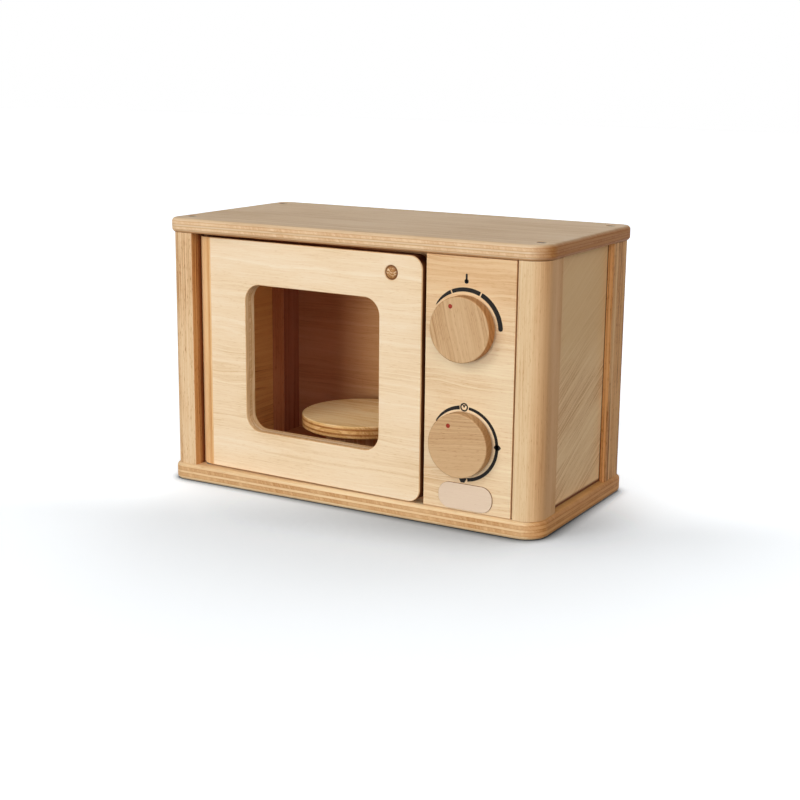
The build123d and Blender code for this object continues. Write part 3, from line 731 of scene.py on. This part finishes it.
# Floor
floorSettings = {
    "half": 6.0,
    "seenColour": 0.9,
    "seenGlow": 0.75,
    "bounceColour": 0.35,          # what the paper gives back to the object
    "shadeTowards": (0.0, 0.8, 0.6),
    "shadeReach": 0.6,             # m
    "shadeStops": ((0.5, "#A6A6A6"), (0.61, "#AEAEAE"), (0.66, "#CECECE"), (0.85, "#D2D2D2"),
                   (1.0, "#FFFFFF")),
    "cool": (0.92, 1.0, 1.07),     # takes the warm cast of the wood out of the paper
    "shadeFades": (-0.13, 0.015),  # m behind the object's middle where the shade is full and where it ends
    "shadeTurn": 0.45,             # how much further back that line lies for each metre to the right
    "besideReach": 0.08,           # m
    "besideRange": (0.5, 0.95, 0.76, 1.0),   # openness where it is darkest and lightest, and both shades
    "contactReach": 0.012,         # m
    "contactRange": (0.35, 0.9, 0.12, 1.0),
    "samples": 12,
}


def addSeen(tree):
    # 1 for what the camera sees straight, in a reflection or through glass
    path = addNode(tree, "LightPath")
    seen = addNode(tree, "Math", {"operation": "MAXIMUM"},
                   {0: path.outputs["Is Camera Ray"], 1: path.outputs["Is Glossy Ray"]})
    return addNode(tree, "Math", {"operation": "MAXIMUM"}, {0: seen, 1: path.outputs["Is Transmission Ray"]})


def makeFloor():
    # White studio paper: seen at full white where no shade falls, and an ordinary white to the object
    material, tree = newMaterial("whiteStudioPaper")
    seen = addSeen(tree)
    # Soft shade in front of the object and to its right, as under a lamp behind it
    shade = addNode(tree, "AmbientOcclusion", {"samples": floorSettings["samples"],
                                               "Distance": floorSettings["shadeReach"],
                                               "Normal": floorSettings["shadeTowards"]})
    shade = addNode(tree, "ValToRGB", {"blendMode": "B_SPLINE", "stops": floorSettings["shadeStops"]},
                    {0: shade.outputs[1]})
    place = addNode(tree, "TexCoord")
    place = addNode(tree, "SeparateXYZ", {}, {0: place.outputs["Object"]})
    shadeFull, shadeNone = floorSettings["shadeFades"]
    leftwards = addNode(tree, "Math", {"operation": "MULTIPLY", 1: -floorSettings["shadeTurn"]},
                        {0: place.outputs[0]})
    away = addNode(tree, "Math", {"operation": "ADD"}, {0: place.outputs[1], 1: leftwards})
    inFront = addNode(tree, "MapRange", {"interpolation_type": "SMOOTHSTEP", 1: shadeFull, 2: shadeNone,
                                         3: 1.0, 4: 0.0}, {0: away})
    shade = addNode(tree, "Mix", {2: 1.0}, {0: inFront, 3: shade})
    # Painted shade beside the object, and a dark line of painted shadow where it touches the paper
    for reach, (least, most, dark, pale) in (
            (floorSettings["besideReach"], floorSettings["besideRange"]),
            (floorSettings["contactReach"], floorSettings["contactRange"])):
        near = addNode(tree, "AmbientOcclusion", {"samples": floorSettings["samples"], "Distance": reach})
        near = addNode(tree, "MapRange", {1: least, 2: most, 3: dark, 4: pale}, {0: near.outputs[1]})
        shade = addNode(tree, "Math", {"operation": "MULTIPLY"}, {0: shade, 1: near})
    shade = addNode(tree, "Mix", {2: 1.0}, {0: seen, 3: shade})
    level = addNode(tree, "MapRange", {3: floorSettings["bounceColour"], 4: floorSettings["seenColour"]},
                    {0: seen})
    level = addNode(tree, "Math", {"operation": "MULTIPLY"}, {0: level, 1: shade})
    glow = addNode(tree, "Math", {"operation": "MULTIPLY", 1: floorSettings["seenGlow"]}, {0: seen})
    glow = addNode(tree, "Math", {"operation": "MULTIPLY"}, {0: glow, 1: shade})
    white = addNode(tree, "VectorMath", {"operation": "SCALE", 0: floorSettings["cool"]}, {"Scale": level})
    surface = addNode(tree, "BsdfDiffuse", {}, {"Color": white})
    light = addNode(tree, "Emission", {}, {"Strength": glow})
    both = addNode(tree, "AddShader", {}, {0: surface, 1: light})
    addNode(tree, "OutputMaterial", {}, {"Surface": both})
    half = floorSettings["half"]
    mesh = bpy.data.meshes.new("floor")
    corners = [(-half, -half, 0), (half, -half, 0), (half, half, 0), (-half, half, 0)]
    mesh.from_pydata(corners, [], [(0, 1, 2, 3)])
    mesh.materials.append(material)
    floor = bpy.data.objects.new("floor", mesh)
    bpy.context.scene.collection.objects.link(floor)


makeFloor()

# Light
worldSettings = {"seen": 1.0, "level": 0.10}


def makeWorld():
    world = bpy.data.worlds.new("studio")
    bpy.context.scene.world = world
    world.use_nodes = True
    tree = world.node_tree
    tree.nodes.clear()
    strength = addNode(tree, "Mix", {2: worldSettings["level"], 3: worldSettings["seen"]}, {0: addSeen(tree)})
    background = addNode(tree, "Background", {"Color": (1, 1, 1, 1)}, {"Strength": strength})
    addNode(tree, "OutputWorld", {}, {"Surface": background})


# White suns, in degrees to the right of the toy's front and above the floor. The low one behind the toy is
# kept out of the gloss, where it would glare on the top board.
suns = {
    "keyLight": {"azimuth": -25.0, "elevation": 30.0, "strength": 1.2, "angle": 30.0, "shine": True},
    "lowLight": {"azimuth": -4.0, "elevation": 6.0, "strength": 1.0, "angle": 16.0, "shine": True},
    "fillLight": {"azimuth": 50.0, "elevation": 18.0, "strength": 1.45, "angle": 70.0, "shine": True},
    "backLight": {"azimuth": 203.0, "elevation": 4.0, "strength": 1.35, "angle": 30.0, "shine": False},
}
cavityLight = {"place": (0.035, -0.01, 0.168), "aim": (0.0, 0.05, 0.06), "size": 0.05, "power": 0.0275}


def wayTo(azimuth, elevation):
    turn, rise = math.radians(azimuth), math.radians(elevation)
    return Vector((math.sin(turn) * math.cos(rise), -math.cos(turn) * math.cos(rise), math.sin(rise)))


def addLamp(name, light, place, towards):
    lamp = bpy.data.objects.new(name, light)
    lamp.location = place
    lamp.rotation_mode = "QUATERNION"
    lamp.rotation_quaternion = towards.to_track_quat("Z", "Y")
    bpy.context.scene.collection.objects.link(lamp)
    return lamp


def addSun(name, sun):
    light = bpy.data.lights.new(name, "SUN")
    light.energy = sun["strength"]
    light.angle = math.radians(sun["angle"])
    towards = wayTo(sun["azimuth"], sun["elevation"])
    addLamp(name, light, towards * 2, towards).visible_glossy = sun["shine"]


def addCavityLight():
    # Light that a pale room would bounce into the cavity
    light = bpy.data.lights.new("cavityLight", "AREA")
    light.energy = cavityLight["power"]
    light.size = cavityLight["size"]
    place = Vector(cavityLight["place"])
    addLamp("cavityLight", light, place, place - Vector(cavityLight["aim"])).visible_camera = False


makeWorld()
addCavityLight()
for name, sun in suns.items():
    addSun(name, sun)

# Camera, at the photograph's angle
cameraSettings = {
    "azimuth": 29.59,
    "elevation": 13.0,
    "roll": 0.60,
    "distance": 1.18155,
    "target": (0.00281, 0.0, 0.0690),
    "focalLength": 66.95,
    "sensorWidth": 36,
}


def addCamera():
    roll = math.radians(cameraSettings["roll"])
    back = wayTo(cameraSettings["azimuth"], cameraSettings["elevation"])
    level = (-back).cross(upWay).normalized()
    top = level.cross(-back)
    right = level * math.cos(roll) + top * math.sin(roll)
    up = top * math.cos(roll) - level * math.sin(roll)
    data = bpy.data.cameras.new("photoCamera")
    data.lens = cameraSettings["focalLength"]
    data.sensor_width = cameraSettings["sensorWidth"]
    camera = bpy.data.objects.new("photoCamera", data)
    position = Vector(cameraSettings["target"]) + back * cameraSettings["distance"]
    camera.matrix_world = Matrix.Translation(position) @ Matrix((right, up, back)).transposed().to_4x4()
    bpy.context.scene.collection.objects.link(camera)
    bpy.context.scene.camera = camera


addCamera()
bpy.context.scene.view_settings.view_transform = "Standard"
print("stage, light and camera are set")
